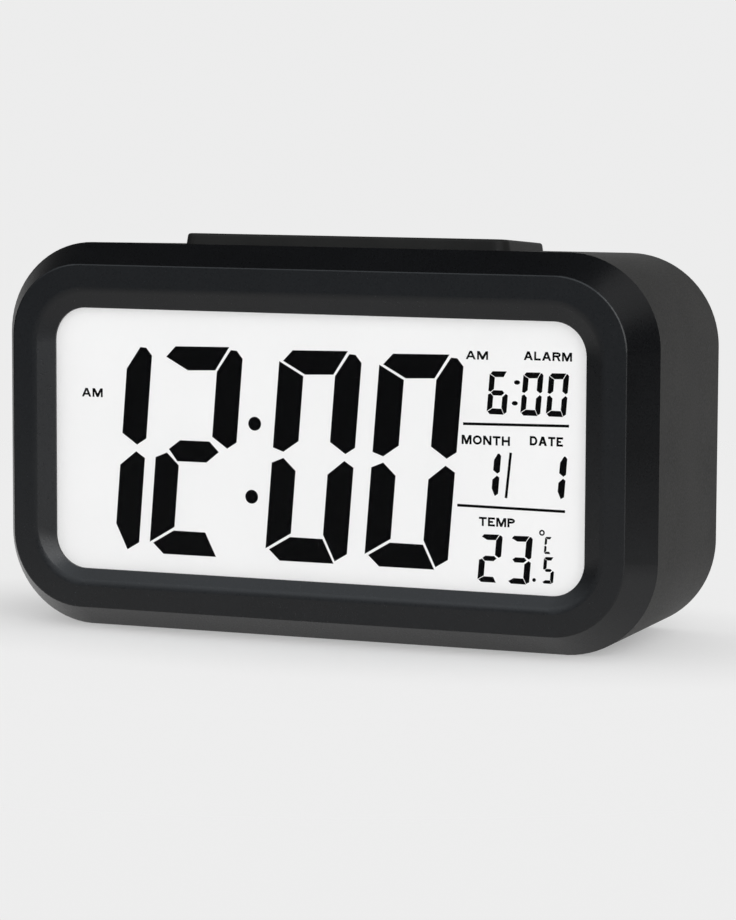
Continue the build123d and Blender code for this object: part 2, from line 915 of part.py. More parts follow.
def rear_button(x):
    """Key cap that fills its hole, with a stop flange and a plunger inside."""
    cap = slab(rounded(button_width, button_height, button_corner, row_z, x), cover_inner_y, button_top_y)
    cap = fillet(cap.faces().sort_by(Axis.Y)[-1].edges(), button_edge_radius)
    flange = rounded(
        button_width + 2 * button_flange,
        button_height + 2 * button_flange,
        button_corner,
        row_z,
        x,
    )
    cap += slab(flange, flange_front_y, cover_inner_y)
    return cap + round_bar(x, row_z, button_plunger_radius, stem_top_y, flange_front_y)


def key_stem(x):
    return round_bar(x, row_z, key_stem_radius, key_switch_y - key_stem_sunk, stem_top_y)


def key_switches():
    bodies = Part()
    bore_depth = key_stem_sunk + button_travel + stem_run_out
    for x in button_xs:
        x_range = span(x, key_switch_size)
        bodies += block(x_range, (key_board_y, key_switch_y), span(row_z, key_switch_size))
        bore = key_stem_radius + stem_gap
        bodies -= round_bar(x, row_z, bore, key_switch_y - bore_depth, key_switch_y)
    return bodies


def key_board():
    outline = rounded(key_board_width, key_board_height, key_board_corner, row_z)
    board = slab(outline, key_board_front_y, key_board_y)
    for x in (-key_screw_x, key_screw_x):
        hole = small_shank_radius + board_hole_gap
        board -= round_bar(x, row_z, hole, key_board_front_y, key_board_y)
    return board


def key_board_screws():
    screws = Part()
    for x in (-key_screw_x, key_screw_x):
        screws += small_screw(x, row_z, key_board_front_y, 1)
    return screws


def alarm_switch_case():
    top_y = key_board_y + slide_case_height
    case = block(
        span(slide_x, slide_case_length), (key_board_y, top_y), span(row_z, slide_case_width)
    )
    slot_x = span(slide_x, lever_size + slide_travel + 2 * lever_gap)
    slot_z = span(row_z, lever_size + 2 * lever_gap)
    return case - block(slot_x, (key_board_y + slide_case_floor, top_y), slot_z)


def alarm_switch_lever():
    y_range = (key_board_y + slide_case_floor + lever_gap, flange_front_y + lever_socket)
    return block(span(slide_rest_x, lever_size), y_range, span(row_z, lever_size))


def alarm_switch_knob():
    flange = block(
        span(slide_rest_x, knob_flange_length),
        (flange_front_y, cover_inner_y),
        span(row_z, knob_flange_width),
    )
    grip = block(
        span(slide_rest_x, knob_length), (cover_inner_y, button_top_y), span(row_z, knob_width)
    )
    knob = flange + grip
    for i in range(knob_grooves):
        x = slide_rest_x + (i - (knob_grooves - 1) / 2) * knob_length / (knob_grooves + 1)
        groove_y = (button_top_y - knob_groove_depth, button_top_y)
        knob -= block(span(x, knob_groove_width), groove_y, span(row_z, knob_width))
    socket = lever_size + 2 * part_gap
    socket_y = (flange_front_y, flange_front_y + lever_socket)
    return knob - block(span(slide_rest_x, socket), socket_y, span(row_z, socket))


def thermistor():
    """Bead on two leads that stands behind the vent slots."""
    bead_y = key_board_y + thermistor_stand_off
    sensor = Pos(thermistor_x, bead_y, row_z) * Sphere(thermistor_bead_radius)
    for z in span(row_z, thermistor_lead_spread):
        sensor += round_bar(thermistor_x, z, thermistor_lead_radius, key_board_y, bead_y)
    return sensor


# Power

def plus_side(row):
    """The side where a cell's nub points: neighbours lie head to tail."""
    return 1 if row % 2 == 0 else -1


def battery_cell(row):
    """One round cell, its nub against a flat contact."""
    side = plus_side(row)
    middle = Pos(cell_y, cell_levels[row])
    nub_end = side * (contact_face_x - contact_thickness)
    can_end = nub_end - side * cell_nub_length
    flat_end = nub_end - side * cell_length
    can = across(middle * Circle(cell_diameter / 2), *sorted((flat_end, can_end)))
    can = chamfer(can.edges().filter_by(GeomType.CIRCLE), cell_edge)
    return can + across(middle * Circle(cell_nub_radius), *sorted((can_end, nub_end)))


def contact_plate(side, rows):
    """Flat spring-steel plate on an end wall of the bay, for one or two cells."""
    levels = [cell_levels[row] for row in rows]
    z_range = (min(levels) - contact_size / 2, max(levels) + contact_size / 2)
    x_range = sorted((side * contact_face_x, side * (contact_face_x - contact_thickness)))
    plate = block(x_range, span(cell_y, contact_size), z_range)
    for row in rows:
        if plus_side(row) != side:
            plate += contact_leaf(side, cell_levels[row])
    return plate


def contact_leaf(side, z):
    """Bent leaf that presses on the flat end of a cell."""
    root_x = contact_face_x - contact_thickness / 2
    crest_x = cell_length - contact_face_x + contact_thickness + leaf_gap + contact_thickness / 2
    reach = contact_size / 2 - contact_thickness
    points = [
        (side * root_x, cell_y + reach),
        (side * crest_x, cell_y),
        (side * (root_x - leaf_tip_lift), cell_y - reach),
    ]
    strip = trace(FilletPolyline(*points, radius=leaf_bend), line_width=contact_thickness)
    return upright(strip, z - leaf_width / 2, z + leaf_width / 2)


def solder_tab(side, z):
    """Tab that passes the end wall and turns forward to its lead."""
    outer_x = contact_face_x + bay_wall
    across_x = sorted((side * contact_face_x, side * (outer_x + contact_thickness)))
    along_x = sorted((side * outer_x, side * (outer_x + contact_thickness)))
    z_range = span(z, tab_width)
    bridge = block(across_x, span(cell_y, contact_thickness), z_range)
    return bridge + block(along_x, (tab_front_y, cell_y + contact_thickness / 2), z_range)


def battery_contacts(side):
    """Contacts of one end of the bay: a single one with its tab, and a joined pair."""
    single = 0 if side == 1 else cell_count - 1
    paired = [row for row in range(cell_count) if row != single]
    contacts = contact_plate(side, [single]) + solder_tab(side, cell_levels[single])
    return contacts + contact_plate(side, paired)


# Buzzer, leads and flat cable

def buzzer_plate():
    front_y = cover_inner_y - buzzer_ring_height - buzzer_thickness
    return round_bar(buzzer_x, buzzer_z, buzzer_radius, front_y, front_y + buzzer_thickness)


def buzzer_ceramic():
    rear = cover_inner_y - buzzer_ring_height - buzzer_thickness
    return round_bar(buzzer_x, buzzer_z, ceramic_radius, rear - ceramic_thickness, rear)


def lead(points, radius):
    """Round wire whose straight runs are joined by arcs as wide as the runs allow."""
    bends = []
    for before, corner, after in zip(points, points[1:], points[2:]):
        run_in = Vector(*corner) - Vector(*before)
        run_out = Vector(*after) - Vector(*corner)
        half_turn = math.radians(run_in.get_angle(run_out)) / 2
        bends.append(lead_bend_share * min(run_in.length, run_out.length) / math.tan(half_turn))
    path = FilletPolyline(*points, radius=bends)
    return sweep(Plane(path @ 0, z_dir=path % 0) * Circle(radius), path=path)


def lead_to_board(start, end_x, end_z, radius):
    """Wire that leaves its solder point straight forward and meets the main board square."""
    x, y, z = start
    straight = (y - board_rear_y) * lead_straight_share
    return lead(
        [start, (x, y - straight, z), (end_x, board_rear_y + straight, end_z), (end_x, board_rear_y, end_z)],
        radius,
    )


def battery_leads():
    tab_x = contact_face_x + bay_wall + contact_thickness / 2
    leads = Part()
    for side, z in ((1, cell_levels[0]), (-1, cell_levels[-1])):
        end_z = z + side * battery_lead_drift_z
        leads += lead_to_board((side * tab_x, tab_front_y, z), side * battery_lead_x, end_z, lead_radius)
    return leads


def buzzer_leads():
    plate_y = cover_inner_y - buzzer_ring_height - buzzer_thickness
    rim_z = buzzer_z - (buzzer_radius + ceramic_radius) / 2
    end_x = buzzer_x + buzzer_lead_drift
    starts = ((buzzer_x, plate_y - ceramic_thickness, buzzer_z), (buzzer_x, plate_y, rim_z))
    leads = Part()
    for start in starts:
        leads += lead_to_board(start, end_x, start[2] + buzzer_lead_drift, thin_lead_radius)
    return leads


def key_cable():
    """Flat cable from the key board to the main board."""
    key_z = row_z - cable_key_drop
    board_z = row_z - cable_board_drop
    points = [
        (key_board_front_y, key_z),
        (key_board_front_y - cable_straight, key_z),
        (board_rear_y + cable_straight, board_z),
        (board_rear_y, board_z),
    ]
    strip = trace(FilletPolyline(*points, radius=cable_bend), line_width=cable_thickness)
    return across(strip, cable_x - cable_width / 2, cable_x + cable_width / 2)


def case_screws():
    seat_y = rear_y - head_sink - case_head_height
    tip_y = cover_inner_y - case_screw_length + screw_run_out
    screws = Part()
    for x in (-case_screw_x, case_screw_x):
        for z in case_screw_levels:
            screws += round_bar(x, z, case_head_radius, seat_y, seat_y + case_head_height)
            screws += round_bar(x, z, case_shank_radius, tip_y, seat_y)
    return screws


def all_parts():
    """Every piece under the name of its node."""
    parts = {
        "front_bezel": front_bezel(),
        "body_shell": body_shell(),
        "rear_cover": rear_cover(),
        "battery_door": battery_door(),
        "door_latch": door_latch(),
        "display_lens": display_lens(),
        "lcd_front_glass": lcd_front_glass(),
        "lcd_rear_glass": lcd_rear_glass(),
        "light_guide": light_guide(),
        "reflector": reflector(),
        "lcd_frame": lcd_frame(),
        "elastomer_connectors": elastomer_connectors(),
        "backlight_lamps": backlight_lamps(),
        "main_board": main_board(),
        "controller_cap": controller_cap(),
        "quartz_crystal": quartz_crystal(),
        "buffer_capacitor": buffer_capacitor(),
        "snooze_bar": snooze_bar(),
        "return_sleeves": return_sleeves(),
        "snooze_switch": snooze_switch(),
        "snooze_switch_stem": snooze_stem(),
        "key_board": key_board(),
        "key_switches": key_switches(),
        "thermistor": thermistor(),
        "alarm_switch_case": alarm_switch_case(),
        "alarm_switch_lever": alarm_switch_lever(),
        "alarm_switch_knob": alarm_switch_knob(),
        "buzzer_plate": buzzer_plate(),
        "buzzer_ceramic": buzzer_ceramic(),
        "battery_contacts_left": battery_contacts(-1),
        "battery_contacts_right": battery_contacts(1),
        "battery_leads": battery_leads(),
        "buzzer_leads": buzzer_leads(),
        "key_cable": key_cable(),
        "case_screws": case_screws(),
        "main_board_screws": main_board_screws(),
        "key_board_screws": key_board_screws(),
    }
    for name, x in zip(("mode", "set", "up", "down"), button_xs):
        parts[f"{name}_button"] = rear_button(x)
        parts[f"{name}_switch_stem"] = key_stem(x)
    for row in range(cell_count):
        parts[f"battery_cell_{row + 1}"] = battery_cell(row)
    return parts


os.makedirs("parts", exist_ok=True)
for node, shape in all_parts().items():
    export_step(shape, f"parts/{node}.step")
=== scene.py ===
import json
import math

import bmesh
import bpy
from mathutils import Matrix, Vector


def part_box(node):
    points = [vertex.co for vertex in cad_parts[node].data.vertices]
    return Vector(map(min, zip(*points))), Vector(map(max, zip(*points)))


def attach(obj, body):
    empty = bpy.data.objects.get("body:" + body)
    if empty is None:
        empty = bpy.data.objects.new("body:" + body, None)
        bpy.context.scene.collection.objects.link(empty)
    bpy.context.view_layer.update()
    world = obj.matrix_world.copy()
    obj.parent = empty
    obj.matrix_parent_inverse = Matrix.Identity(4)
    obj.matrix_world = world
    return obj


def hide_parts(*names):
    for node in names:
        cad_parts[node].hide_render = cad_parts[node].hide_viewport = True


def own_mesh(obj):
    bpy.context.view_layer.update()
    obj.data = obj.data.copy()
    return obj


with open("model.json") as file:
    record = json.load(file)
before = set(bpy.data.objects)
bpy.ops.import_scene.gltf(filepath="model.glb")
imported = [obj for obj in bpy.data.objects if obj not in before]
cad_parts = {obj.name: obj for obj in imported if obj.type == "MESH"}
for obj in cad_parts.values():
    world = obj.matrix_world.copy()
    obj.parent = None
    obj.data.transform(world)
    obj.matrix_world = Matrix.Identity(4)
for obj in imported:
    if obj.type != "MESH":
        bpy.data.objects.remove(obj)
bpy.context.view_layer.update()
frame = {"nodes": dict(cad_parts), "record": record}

MM = 0.001
nodes = frame["nodes"]

# Camera, read off the picture: place in metres, turn, tilt and roll in degrees
CAMERA_PLACE = (0.25823, -0.63120, 0.10428)
CAMERA_TURN = 22.06
CAMERA_TILT = 5.95
CAMERA_ROLL = 0.25
LENS_MM = 136.03

# Light: the pale backdrop, the room light on all surfaces, and two far soft lamps
PALE = (0.845, 0.845, 0.845)
AMBIENT = (0.55, 0.55, 0.55)
FRONT_LAMP = {"strength": 1.7, "turn": 38, "height": 20, "width": 50}
REAR_LAMP = {"strength": 0.35, "turn": 130, "height": 40, "width": 50}

# Room in front, at the sides and above, as the plastic mirrors it
ROOM_FRONT = (0.31, 0.345, 0.38)
ROOM_SIDE = (0.01, 0.01, 0.01)
ROOM_TOP_FRONT = (1.75, 1.88, 2.0)
ROOM_TOP_BACK = (0.02, 0.02, 0.02)

# Where its tones blend. The first two are places along the depth of the room, 0 in front of
# the clock and 1 behind it. The last two are the Y and the Z of a ray's direction of length 1.
FRONT_TO_SIDE = (0.05, 0.35)
TOP_FRONT_TO_BACK = (0.20, 0.50)
BACKDROP_START = (0.55, 0.95)
CEILING_START = (0.10, 0.60)

# Floor, in metres. Its glow is weaker near the clock, a painted shade that deepens its real shadow there.
# Along the clock's width a distance counts half, so the painted shade reaches twice as far there.
FLOOR_COLOUR = (0.88, 0.88, 0.88)
FLOOR_SHADES = (0.99, 1.01)
FLOOR_GLOW = (0.88, 0.88, 0.88)
FLOOR_PALENESS = (0.38, 0.85)
FLOOR_PAINTED_SHADE_REACH = (0.027, 0.060)
FLOOR_PAINTED_SHADE_SCALE = (0.5, 1.0, 1.0)
FLOOR_FADE = (0.10, 0.40)
FLOOR_RADIUS = 12.0
FLOOR_SIDES = 64
FLOOR_DROP = 0.0001

# Display marks, in millimetres on the plane of the display, X to the right and Z up. SLANT is
# how far a figure leans to the right over each millimetre of its height.
SLANT = 0.078
INK_THICKNESS = 0.05
INK_SUNK = 0.02
ROUND_STEPS = 24
ARC_STEPS = 8

TIME_FIGURE = {"base": 15.25, "width": 17.05, "height": 41.0, "stroke": 5.25, "bar": 4.75}
TIME_RIGHT_EDGES = (-36.3, -16.95, 7.83, 28.53)
COLON_PLACES = ((-12.96, 41.6), (-13.58, 27.39))
COLON_RADIUS = 1.35

ALARM_FIGURE = {"base": 45.3, "width": 3.95, "height": 8.15, "stroke": 1.08, "bar": 1.12}
ALARM_RIGHT_EDGES = (38.9, 45.6, 50.65)
ALARM_COLON_PLACES = ((40.67, 51.46), (40.25, 47.53))
ALARM_COLON_RADII = (0.60, 0.42)

DATE_FIGURE = {"base": 29.75, "width": 4.2, "height": 8.35, "stroke": 1.35, "bar": 1.35}
DATE_RIGHT_EDGES = (37.35, 50.45)
SLASH_ENDS = ((38.66, 29.6), (39.54, 38.2))
SLASH_WIDTH = 0.52

TEMP_FIGURE = {"base": 13.45, "width": 4.35, "height": 9.15, "stroke": 1.25, "bar": 1.1}
TEMP_RIGHT_EDGES = (37.75, 43.75)
TEMP_POINT = (44.4, 14.4)
TEMP_POINT_RADIUS = 0.36
TENTH_FIGURE = {"base": 13.85, "width": 2.2, "height": 5.05, "stroke": 0.66, "bar": 0.66}
TENTH_RIGHT_EDGE = 48.35
DEGREE_PLACE = (45.88, 23.4)
DEGREE_RADIUS = 0.56
DEGREE_HOLE = 0.27
UNIT_FIGURE = {"base": 19.45, "width": 1.5, "height": 3.25, "stroke": 0.45, "bar": 0.45}
UNIT_RIGHT_EDGE = 47.9

RULE_ENDS = (((29.95, 43.3), (51.0, 43.65)), ((28.9, 27.8), (50.4, 27.6)))
RULE_WIDTH = 0.52

# Legends: word, left edge, baseline, cap height, width
LEGENDS = (
    ("AM", -50.15, 45.55, 1.72, 4.55),
    ("AM", 30.4, 55.5, 1.6, 4.45),
    ("ALARM", 41.95, 55.7, 1.65, 9.5),
    ("MONTH", 29.7, 39.45, 1.75, 9.65),
    ("DATE", 43.3, 39.75, 1.75, 6.55),
    ("TEMP", 33.3, 24.1, 1.7, 7.2),
)

# Widths of the letters and the gap between them in one unit, the stroke as a share of the height
LETTER_WIDTHS = {
    "A": 1.12, "D": 1.0, "E": 0.86, "H": 1.0, "L": 0.8, "M": 1.22,
    "N": 1.02, "O": 1.12, "P": 0.92, "R": 1.0, "T": 0.95,
}
LETTER_GAP = 0.16
LETTER_STROKE = 0.23

# Rubber sleeves under the press bar, in millimetres
SLEEVE_BORE = 1.5
SLEEVE_EDGE = 0.3
SLEEVE_WAIST = 0.35
SLEEVE_SIDES = 32

# Cells: where each colour starts, from 0 at the minus end to 1 at the plus end. The middle
# cell lies the other way round.
CELL_STEEL = (0.55, 0.54, 0.52)
CELL_SLEEVE = (0.045, 0.060, 0.075)
CELL_BAND = (0.42, 0.43, 0.43)
CELL_STOPS = (
    (0.0, CELL_STEEL), (0.02, CELL_SLEEVE), (0.84, CELL_BAND), (0.93, CELL_SLEEVE), (0.965, CELL_STEEL),
)
REVERSED_CELL = "battery_cell_2"

# Display: the darker and the lighter tone of its ink and of its face, and the face's painted glow, which
# keeps it bright and softens the shade the bezel casts on it
INK_TONES = ((0.0006, 0.0006, 0.0007), (0.0012, 0.0012, 0.0014))
FACE_TONES = ((0.41, 0.41, 0.41), (0.43, 0.43, 0.43))
FACE_PAINTED_GLOW = (0.93, 0.93, 0.93)
FACE_PAINTED_GLOW_STRENGTH = 0.54

# Clear lens: its gloss grows with this power of the slant at which it is seen
LENS_GLOSS_POWER = 3.0

# Noise lies mostly between these two values
NOISE_LOW = 0.3
NOISE_HIGH = 0.7

# Moulded plastic and metal: sizes in millimetres, and how far tone and roughness vary
CLOUD_SIZE = 14.0
PLASTIC_ROUGHNESS_SPREAD = (-0.05, 0.06)
METAL_SHADES = (0.82, 1.08)
METAL_ROUGHNESS_SPREAD = 0.15
METAL_RELIEF = 0.004

# Seven-segment figures
SEGMENTS_OF = {
    "0": "abcdef",
    "1": "bc",
    "2": "abged",
    "3": "abgcd",
    "5": "afgcd",
    "6": "afgedc",
    "C": "afed",
}


def add_object(name, data):
    """Object with that name and data, in the scene."""
    made = bpy.data.objects.new(name, data)
    bpy.context.scene.collection.objects.link(made)
    return made


# Outlines of the display marks

def segment_outlines(width, height, stroke, bar):
    """Outline of each of the seven bars of a figure whose lower left corner is (0, 0).

    The upright bars are one stroke wide and the level ones one bar thick. Narrow slanting
    gaps part them, and the outer corners are cut.
    """
    def place(side, across, end, along):
        """Point so many strokes in from the left or right and bars in from the low or high end."""
        x = across * stroke if side == "left" else width - across * stroke
        z = {"low": 0, "high": height, "middle": height / 2}[end]
        return x, z + along * bar * (-1 if end == "high" else 1)

    corners = {
        "a": (
            ("left", 0.15, "high", 0.48), ("left", 0.50, "high", 0.04), ("right", 0.57, "high", 0.0),
            ("right", 1.07, "high", 0.97), ("left", 1.07, "high", 1.01),
        ),
        "b": (
            ("right", 0.50, "high", 0.12), ("right", 0.26, "high", 0.14), ("right", 0.0, "high", 0.46),
            ("right", 0.0, "middle", 0.43), ("right", 0.36, "middle", 0.16),
            ("right", 1.0, "middle", 0.62), ("right", 1.0, "high", 1.03),
        ),
        "c": (
            ("right", 0.38, "middle", -0.12), ("right", 0.0, "middle", -0.38), ("right", 0.0, "low", 0.42),
            ("right", 0.46, "low", 0.10), ("right", 1.0, "low", 1.16), ("right", 1.0, "middle", -0.70),
        ),
        "d": (
            ("left", 0.14, "low", 0.44), ("left", 0.95, "low", 0.99), ("right", 1.01, "low", 0.98),
            ("right", 0.50, "low", 0.0), ("left", 0.60, "low", 0.0),
        ),
        "e": (
            ("left", 0.0, "low", 0.47), ("left", 0.0, "middle", -0.32), ("left", 0.45, "middle", -0.11),
            ("left", 0.97, "middle", -0.62), ("left", 0.97, "low", 1.14),
        ),
        "f": (
            ("left", 0.0, "high", 0.50), ("left", 1.0, "high", 1.08), ("left", 1.0, "middle", 0.60),
            ("left", 0.43, "middle", 0.14), ("left", 0.0, "middle", 0.30),
        ),
        "g": (
            ("left", 0.52, "middle", 0.04), ("left", 0.95, "middle", 0.42), ("right", 1.10, "middle", 0.42),
            ("right", 0.69, "middle", 0.0), ("right", 1.16, "middle", -0.45),
            ("left", 0.90, "middle", -0.45),
        ),
    }
    return {name: [place(*corner) for corner in points] for name, points in corners.items()}


def figure(digit, right_edge, base, width, height, stroke, bar):
    """Outlines of one slanted figure whose right edge is given at half its height."""
    outlines = segment_outlines(width, height, stroke, bar)
    placed = []
    for segment in SEGMENTS_OF[digit]:
        points = []
        for x, z in outlines[segment]:
            lean = SLANT * (z - height / 2)
            points.append((right_edge - width + x + lean, base + z))
        placed.append(points)
    return placed


def figure_row(digits, right_edges, sizes):
    """Outlines of a row of figures of one size, each with its own right edge."""
    outlines = []
    for digit, edge in zip(digits, right_edges):
        outlines += figure(digit, edge, **sizes)
    return outlines


def disc(place, radius, half_height=None):
    """Round outline, or an oval one with its own half height."""
    x, z = place
    angles = [math.tau * i / ROUND_STEPS for i in range(ROUND_STEPS)]
    return [(x + radius * math.cos(a), z + (half_height or radius) * math.sin(a)) for a in angles]


def arc(centre, radii, start, end):
    """Points of an elliptic arc, its angles in degrees."""
    angles = [math.radians(start + (end - start) * i / ARC_STEPS) for i in range(ARC_STEPS + 1)]
    return [(centre[0] + radii[0] * math.cos(a), centre[1] + radii[1] * math.sin(a)) for a in angles]


def bowl(right, low, high, left, radius):
    """Closed outline with an upright left side and a round right side."""
    turn = (right - radius, (low + high) / 2)
    return [(left, low)] + arc(turn, (radius, (high - low) / 2), -90, 90) + [(left, high)]


def bar_between(start, end, width):
    """Outline of a thin bar with square ends."""
    start, end = Vector(start), Vector(end)
    along = (end - start).normalized() * width / 2
    side = Vector((-along.y, along.x))
    return [tuple(corner) for corner in (start + side, end + side, end - side, start - side)]


def letter_outlines(letter, width, height, stroke):
    """Outlines of a plain block letter whose lower left corner is (0, 0), holes included."""
    middle = height / 2
    centre = width / 2
    half = stroke / 2
    inner = width - stroke
    waist = 0.42 * height
    foot = 1.15 * stroke

    # A: half of its flat top, how far its legs lean, and its cross bar
    apex = 0.62 * stroke
    lean = (centre - apex) / height
    bar_low = 0.22 * height
    bar_high = bar_low + 0.9 * stroke

    # M and N: how far their notches stay from the top or the foot, and the shoulders of M
    m_notch = 1.7 * stroke
    m_shoulder = 1.3 * stroke
    n_notch = 1.6 * stroke

    # P and R: radius across of the hole of P, and of the round and the hole of R
    p_hole = 0.3 * width
    r_round = 0.4 * width
    r_hole = 0.25 * width

    shapes = {
        "A": [
            [(0, 0), (foot, 0), (foot + lean * bar_low, bar_low),
             (width - foot - lean * bar_low, bar_low), (width - foot, 0), (width, 0),
             (centre + apex, height), (centre - apex, height)],
            [(foot + lean * bar_high, bar_high), (width - foot - lean * bar_high, bar_high),
             (centre, (centre - foot) / lean)],
        ],
        "D": [
            bowl(width, 0, height, 0, centre),
            bowl(inner, stroke, height - stroke, stroke, centre - stroke),
        ],
        "E": [
            [(0, 0), (width, 0), (width, stroke), (stroke, stroke), (stroke, middle - half),
             (inner, middle - half), (inner, middle + half), (stroke, middle + half),
             (stroke, height - stroke), (width, height - stroke), (width, height), (0, height)],
        ],
        "H": [
            [(0, 0), (stroke, 0), (stroke, middle - half), (inner, middle - half), (inner, 0),
             (width, 0), (width, height), (inner, height), (inner, middle + half),
             (stroke, middle + half), (stroke, height), (0, height)],
        ],
        "L": [[(0, 0), (width, 0), (width, stroke), (stroke, stroke), (stroke, height), (0, height)]],
        "M": [
            [(0, 0), (stroke, 0), (stroke, height - m_notch), (centre - half, 0),
             (centre + half, 0), (inner, height - m_notch), (inner, 0), (width, 0),
             (width, height), (width - m_shoulder, height), (centre, m_notch),
             (m_shoulder, height), (0, height)],
        ],
        "N": [
            [(0, 0), (stroke, 0), (stroke, height - n_notch), (width - foot, 0),
             (width, 0), (width, height), (inner, height), (inner, n_notch),
             (foot, height), (0, height)],
        ],
        "O": [
            disc((centre, middle), centre, middle),
            disc((centre, middle), centre - stroke, middle - stroke),
        ],
        "P": [
            [(0, 0), (stroke, 0), (stroke, waist)] + bowl(width, waist, height, stroke, centre)[1:-1]
            + [(0, height)],
            bowl(inner, waist + stroke, height - stroke, stroke, p_hole),
        ],
        "R": [
            [(0, 0), (stroke, 0), (stroke, waist), (centre, waist), (width - foot, 0), (width, 0),
             (centre + foot, waist)] + bowl(width, waist, height, stroke, r_round)[2:-1]
            + [(0, height)],
            bowl(inner, waist + stroke, height - stroke, stroke, r_hole),
        ],
        "T": [
            [(0, height - stroke), (centre - half, height - stroke), (centre - half, 0),
             (centre + half, 0), (centre + half, height - stroke), (width, height - stroke),
             (width, height), (0, height)],
        ],
    }
    return shapes[letter]


# Pieces of the display

def flat_curve(name, outlines):
    """Flat curve of a set thickness, filled inside its outlines. An inner outline is a hole."""
    curve = bpy.data.curves.new(name, "CURVE")
    curve.dimensions = "2D"
    curve.fill_mode = "BOTH"
    curve.extrude = INK_THICKNESS * MM / 2
    for outline in outlines:
        spline = curve.splines.new("POLY")
        spline.points.add(len(outline) - 1)
        for point, (x, z) in zip(spline.points, outline):
            point.co = (x * MM, z * MM, 0, 1)
        spline.use_cyclic_u = True
    return curve


def ink_piece(name, outlines):
    """Thin plates of those outlines, which stand on the display glass and ride on the case."""
    flat = add_object(name + "_flat", flat_curve(name, outlines))
    bpy.context.view_layer.update()
    mesh = bpy.data.meshes.new_from_object(flat.evaluated_get(bpy.context.evaluated_depsgraph_get()))
    bpy.data.objects.remove(flat)
    glass_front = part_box("lcd_front_glass")[0].y
    depth = glass_front + (INK_SUNK - INK_THICKNESS / 2) * MM
    mesh.transform(Matrix.Translation((0, depth, 0)) @ Matrix.Rotation(math.radians(90), 4, "X"))
    mesh.name = name
    mesh.materials.append(finish("display_ink"))
    piece = add_object(name, mesh)
    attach(piece, "case")


def time_figures():
    """Large hours and minutes with their colon."""
    outlines = figure_row("1200", TIME_RIGHT_EDGES, TIME_FIGURE)
    outlines += [disc(place, COLON_RADIUS) for place in COLON_PLACES]
    ink_piece("time_figures", outlines)


def alarm_figures():
    """Small hour and minutes of the alarm, with an oval colon."""
    outlines = figure_row("600", ALARM_RIGHT_EDGES, ALARM_FIGURE)
    outlines += [disc(place, *ALARM_COLON_RADII) for place in ALARM_COLON_PLACES]
    ink_piece("alarm_figures", outlines)


def date_figures():
    """Month and day with the stroke between them."""
    outlines = figure_row("11", DATE_RIGHT_EDGES, DATE_FIGURE)
    outlines.append(bar_between(*SLASH_ENDS, SLASH_WIDTH))
    ink_piece("date_figures", outlines)


def temperature_figures():
    """Temperature with its point, tenth, degree ring and unit."""
    outlines = figure_row("23", TEMP_RIGHT_EDGES, TEMP_FIGURE)
    outlines += figure("5", TENTH_RIGHT_EDGE, **TENTH_FIGURE)
    outlines += figure("C", UNIT_RIGHT_EDGE, **UNIT_FIGURE)
    outlines.append(disc(TEMP_POINT, TEMP_POINT_RADIUS))
    outlines.append(disc(DEGREE_PLACE, DEGREE_RADIUS))
    outlines.append(disc(DEGREE_PLACE, DEGREE_HOLE))
    ink_piece("temperature_figures", outlines)


def divider_lines():
    """Level lines that part the fields at the right."""
    ink_piece("divider_lines", [bar_between(*ends, RULE_WIDTH) for ends in RULE_ENDS])


def legends():
    """Plain words of the display, each letter in its share of the word's width."""
    outlines = []
    for word, left, baseline, cap_height, width in LEGENDS:
        shares = [LETTER_WIDTHS[letter] for letter in word]
        unit = width / (sum(shares) + LETTER_GAP * (len(word) - 1))
        stroke = LETTER_STROKE * cap_height
        for letter, share in zip(word, shares):
            for outline in letter_outlines(letter, share * unit, cap_height, stroke):
                outlines.append([(left + x, baseline + z) for x, z in outline])
            left += (share + LETTER_GAP) * unit
    ink_piece("legends", outlines)


# Nodes of the materials

def new_material(name):
    """Empty node material with its shader."""
    material = bpy.data.materials.new(name)
    material.use_nodes = True
    return material, material.node_tree, material.node_tree.nodes["Principled BSDF"]


def noise(tree, size, detail=3.0):
    """Noise whose grains are about that many millimetres across."""
    place = tree.nodes.new("ShaderNodeTexCoord")
    grain = tree.nodes.new("ShaderNodeTexNoise")
    grain.inputs["Scale"].default_value = 1 / (size * MM)
    grain.inputs["Detail"].default_value = detail
    tree.links.new(place.outputs["Object"], grain.inputs["Vector"])
    return grain.outputs["Fac"]


def ramp(tree, factor, stops):
    """Colours along a factor: each stop is a position and a colour."""
    node = tree.nodes.new("ShaderNodeValToRGB")
    elements = node.color_ramp.elements
    while len(elements) < len(stops):
        elements.new(0.5)
    for element, (position, colour) in zip(elements, stops):
        element.position = position
        element.color = (*colour, 1)
    tree.links.new(factor, node.inputs["Fac"])
    return node.outputs["Color"]


def mottled(tree, grain, dark, light):
    """Colour that runs from dark to light as the noise rises."""
    return ramp(tree, grain, [(NOISE_LOW, dark), (NOISE_HIGH, light)])


def level(tree, factor, low, high, start=NOISE_LOW, end=NOISE_HIGH):
    """Value that runs from low to high as the factor goes from start to end."""
    node = tree.nodes.new("ShaderNodeMapRange")
    node.inputs["From Min"].default_value = start
    node.inputs["From Max"].default_value = end
    node.inputs["To Min"].default_value = low
    node.inputs["To Max"].default_value = high
    tree.links.new(factor, node.inputs["Value"])
    return node.outputs["Result"]


def rise(tree, factor, start, end):
    """Value that runs from 0 to 1 as the factor goes from start to end."""
    return level(tree, factor, 0.0, 1.0, start, end)


def relief(tree, shader, height, depth):
    """Fine surface relief, its depth in millimetres."""
    node = tree.nodes.new("ShaderNodeBump")
    node.inputs["Distance"].default_value = depth * MM
    tree.links.new(height, node.inputs["Height"])
    tree.links.new(node.outputs["Normal"], shader.inputs["Normal"])


def length_of(tree, vector):
    """Length of a vector."""
    node = tree.nodes.new("ShaderNodeVectorMath")
    node.operation = "LENGTH"
    tree.links.new(vector, node.inputs[0])
    return node.outputs["Value"]


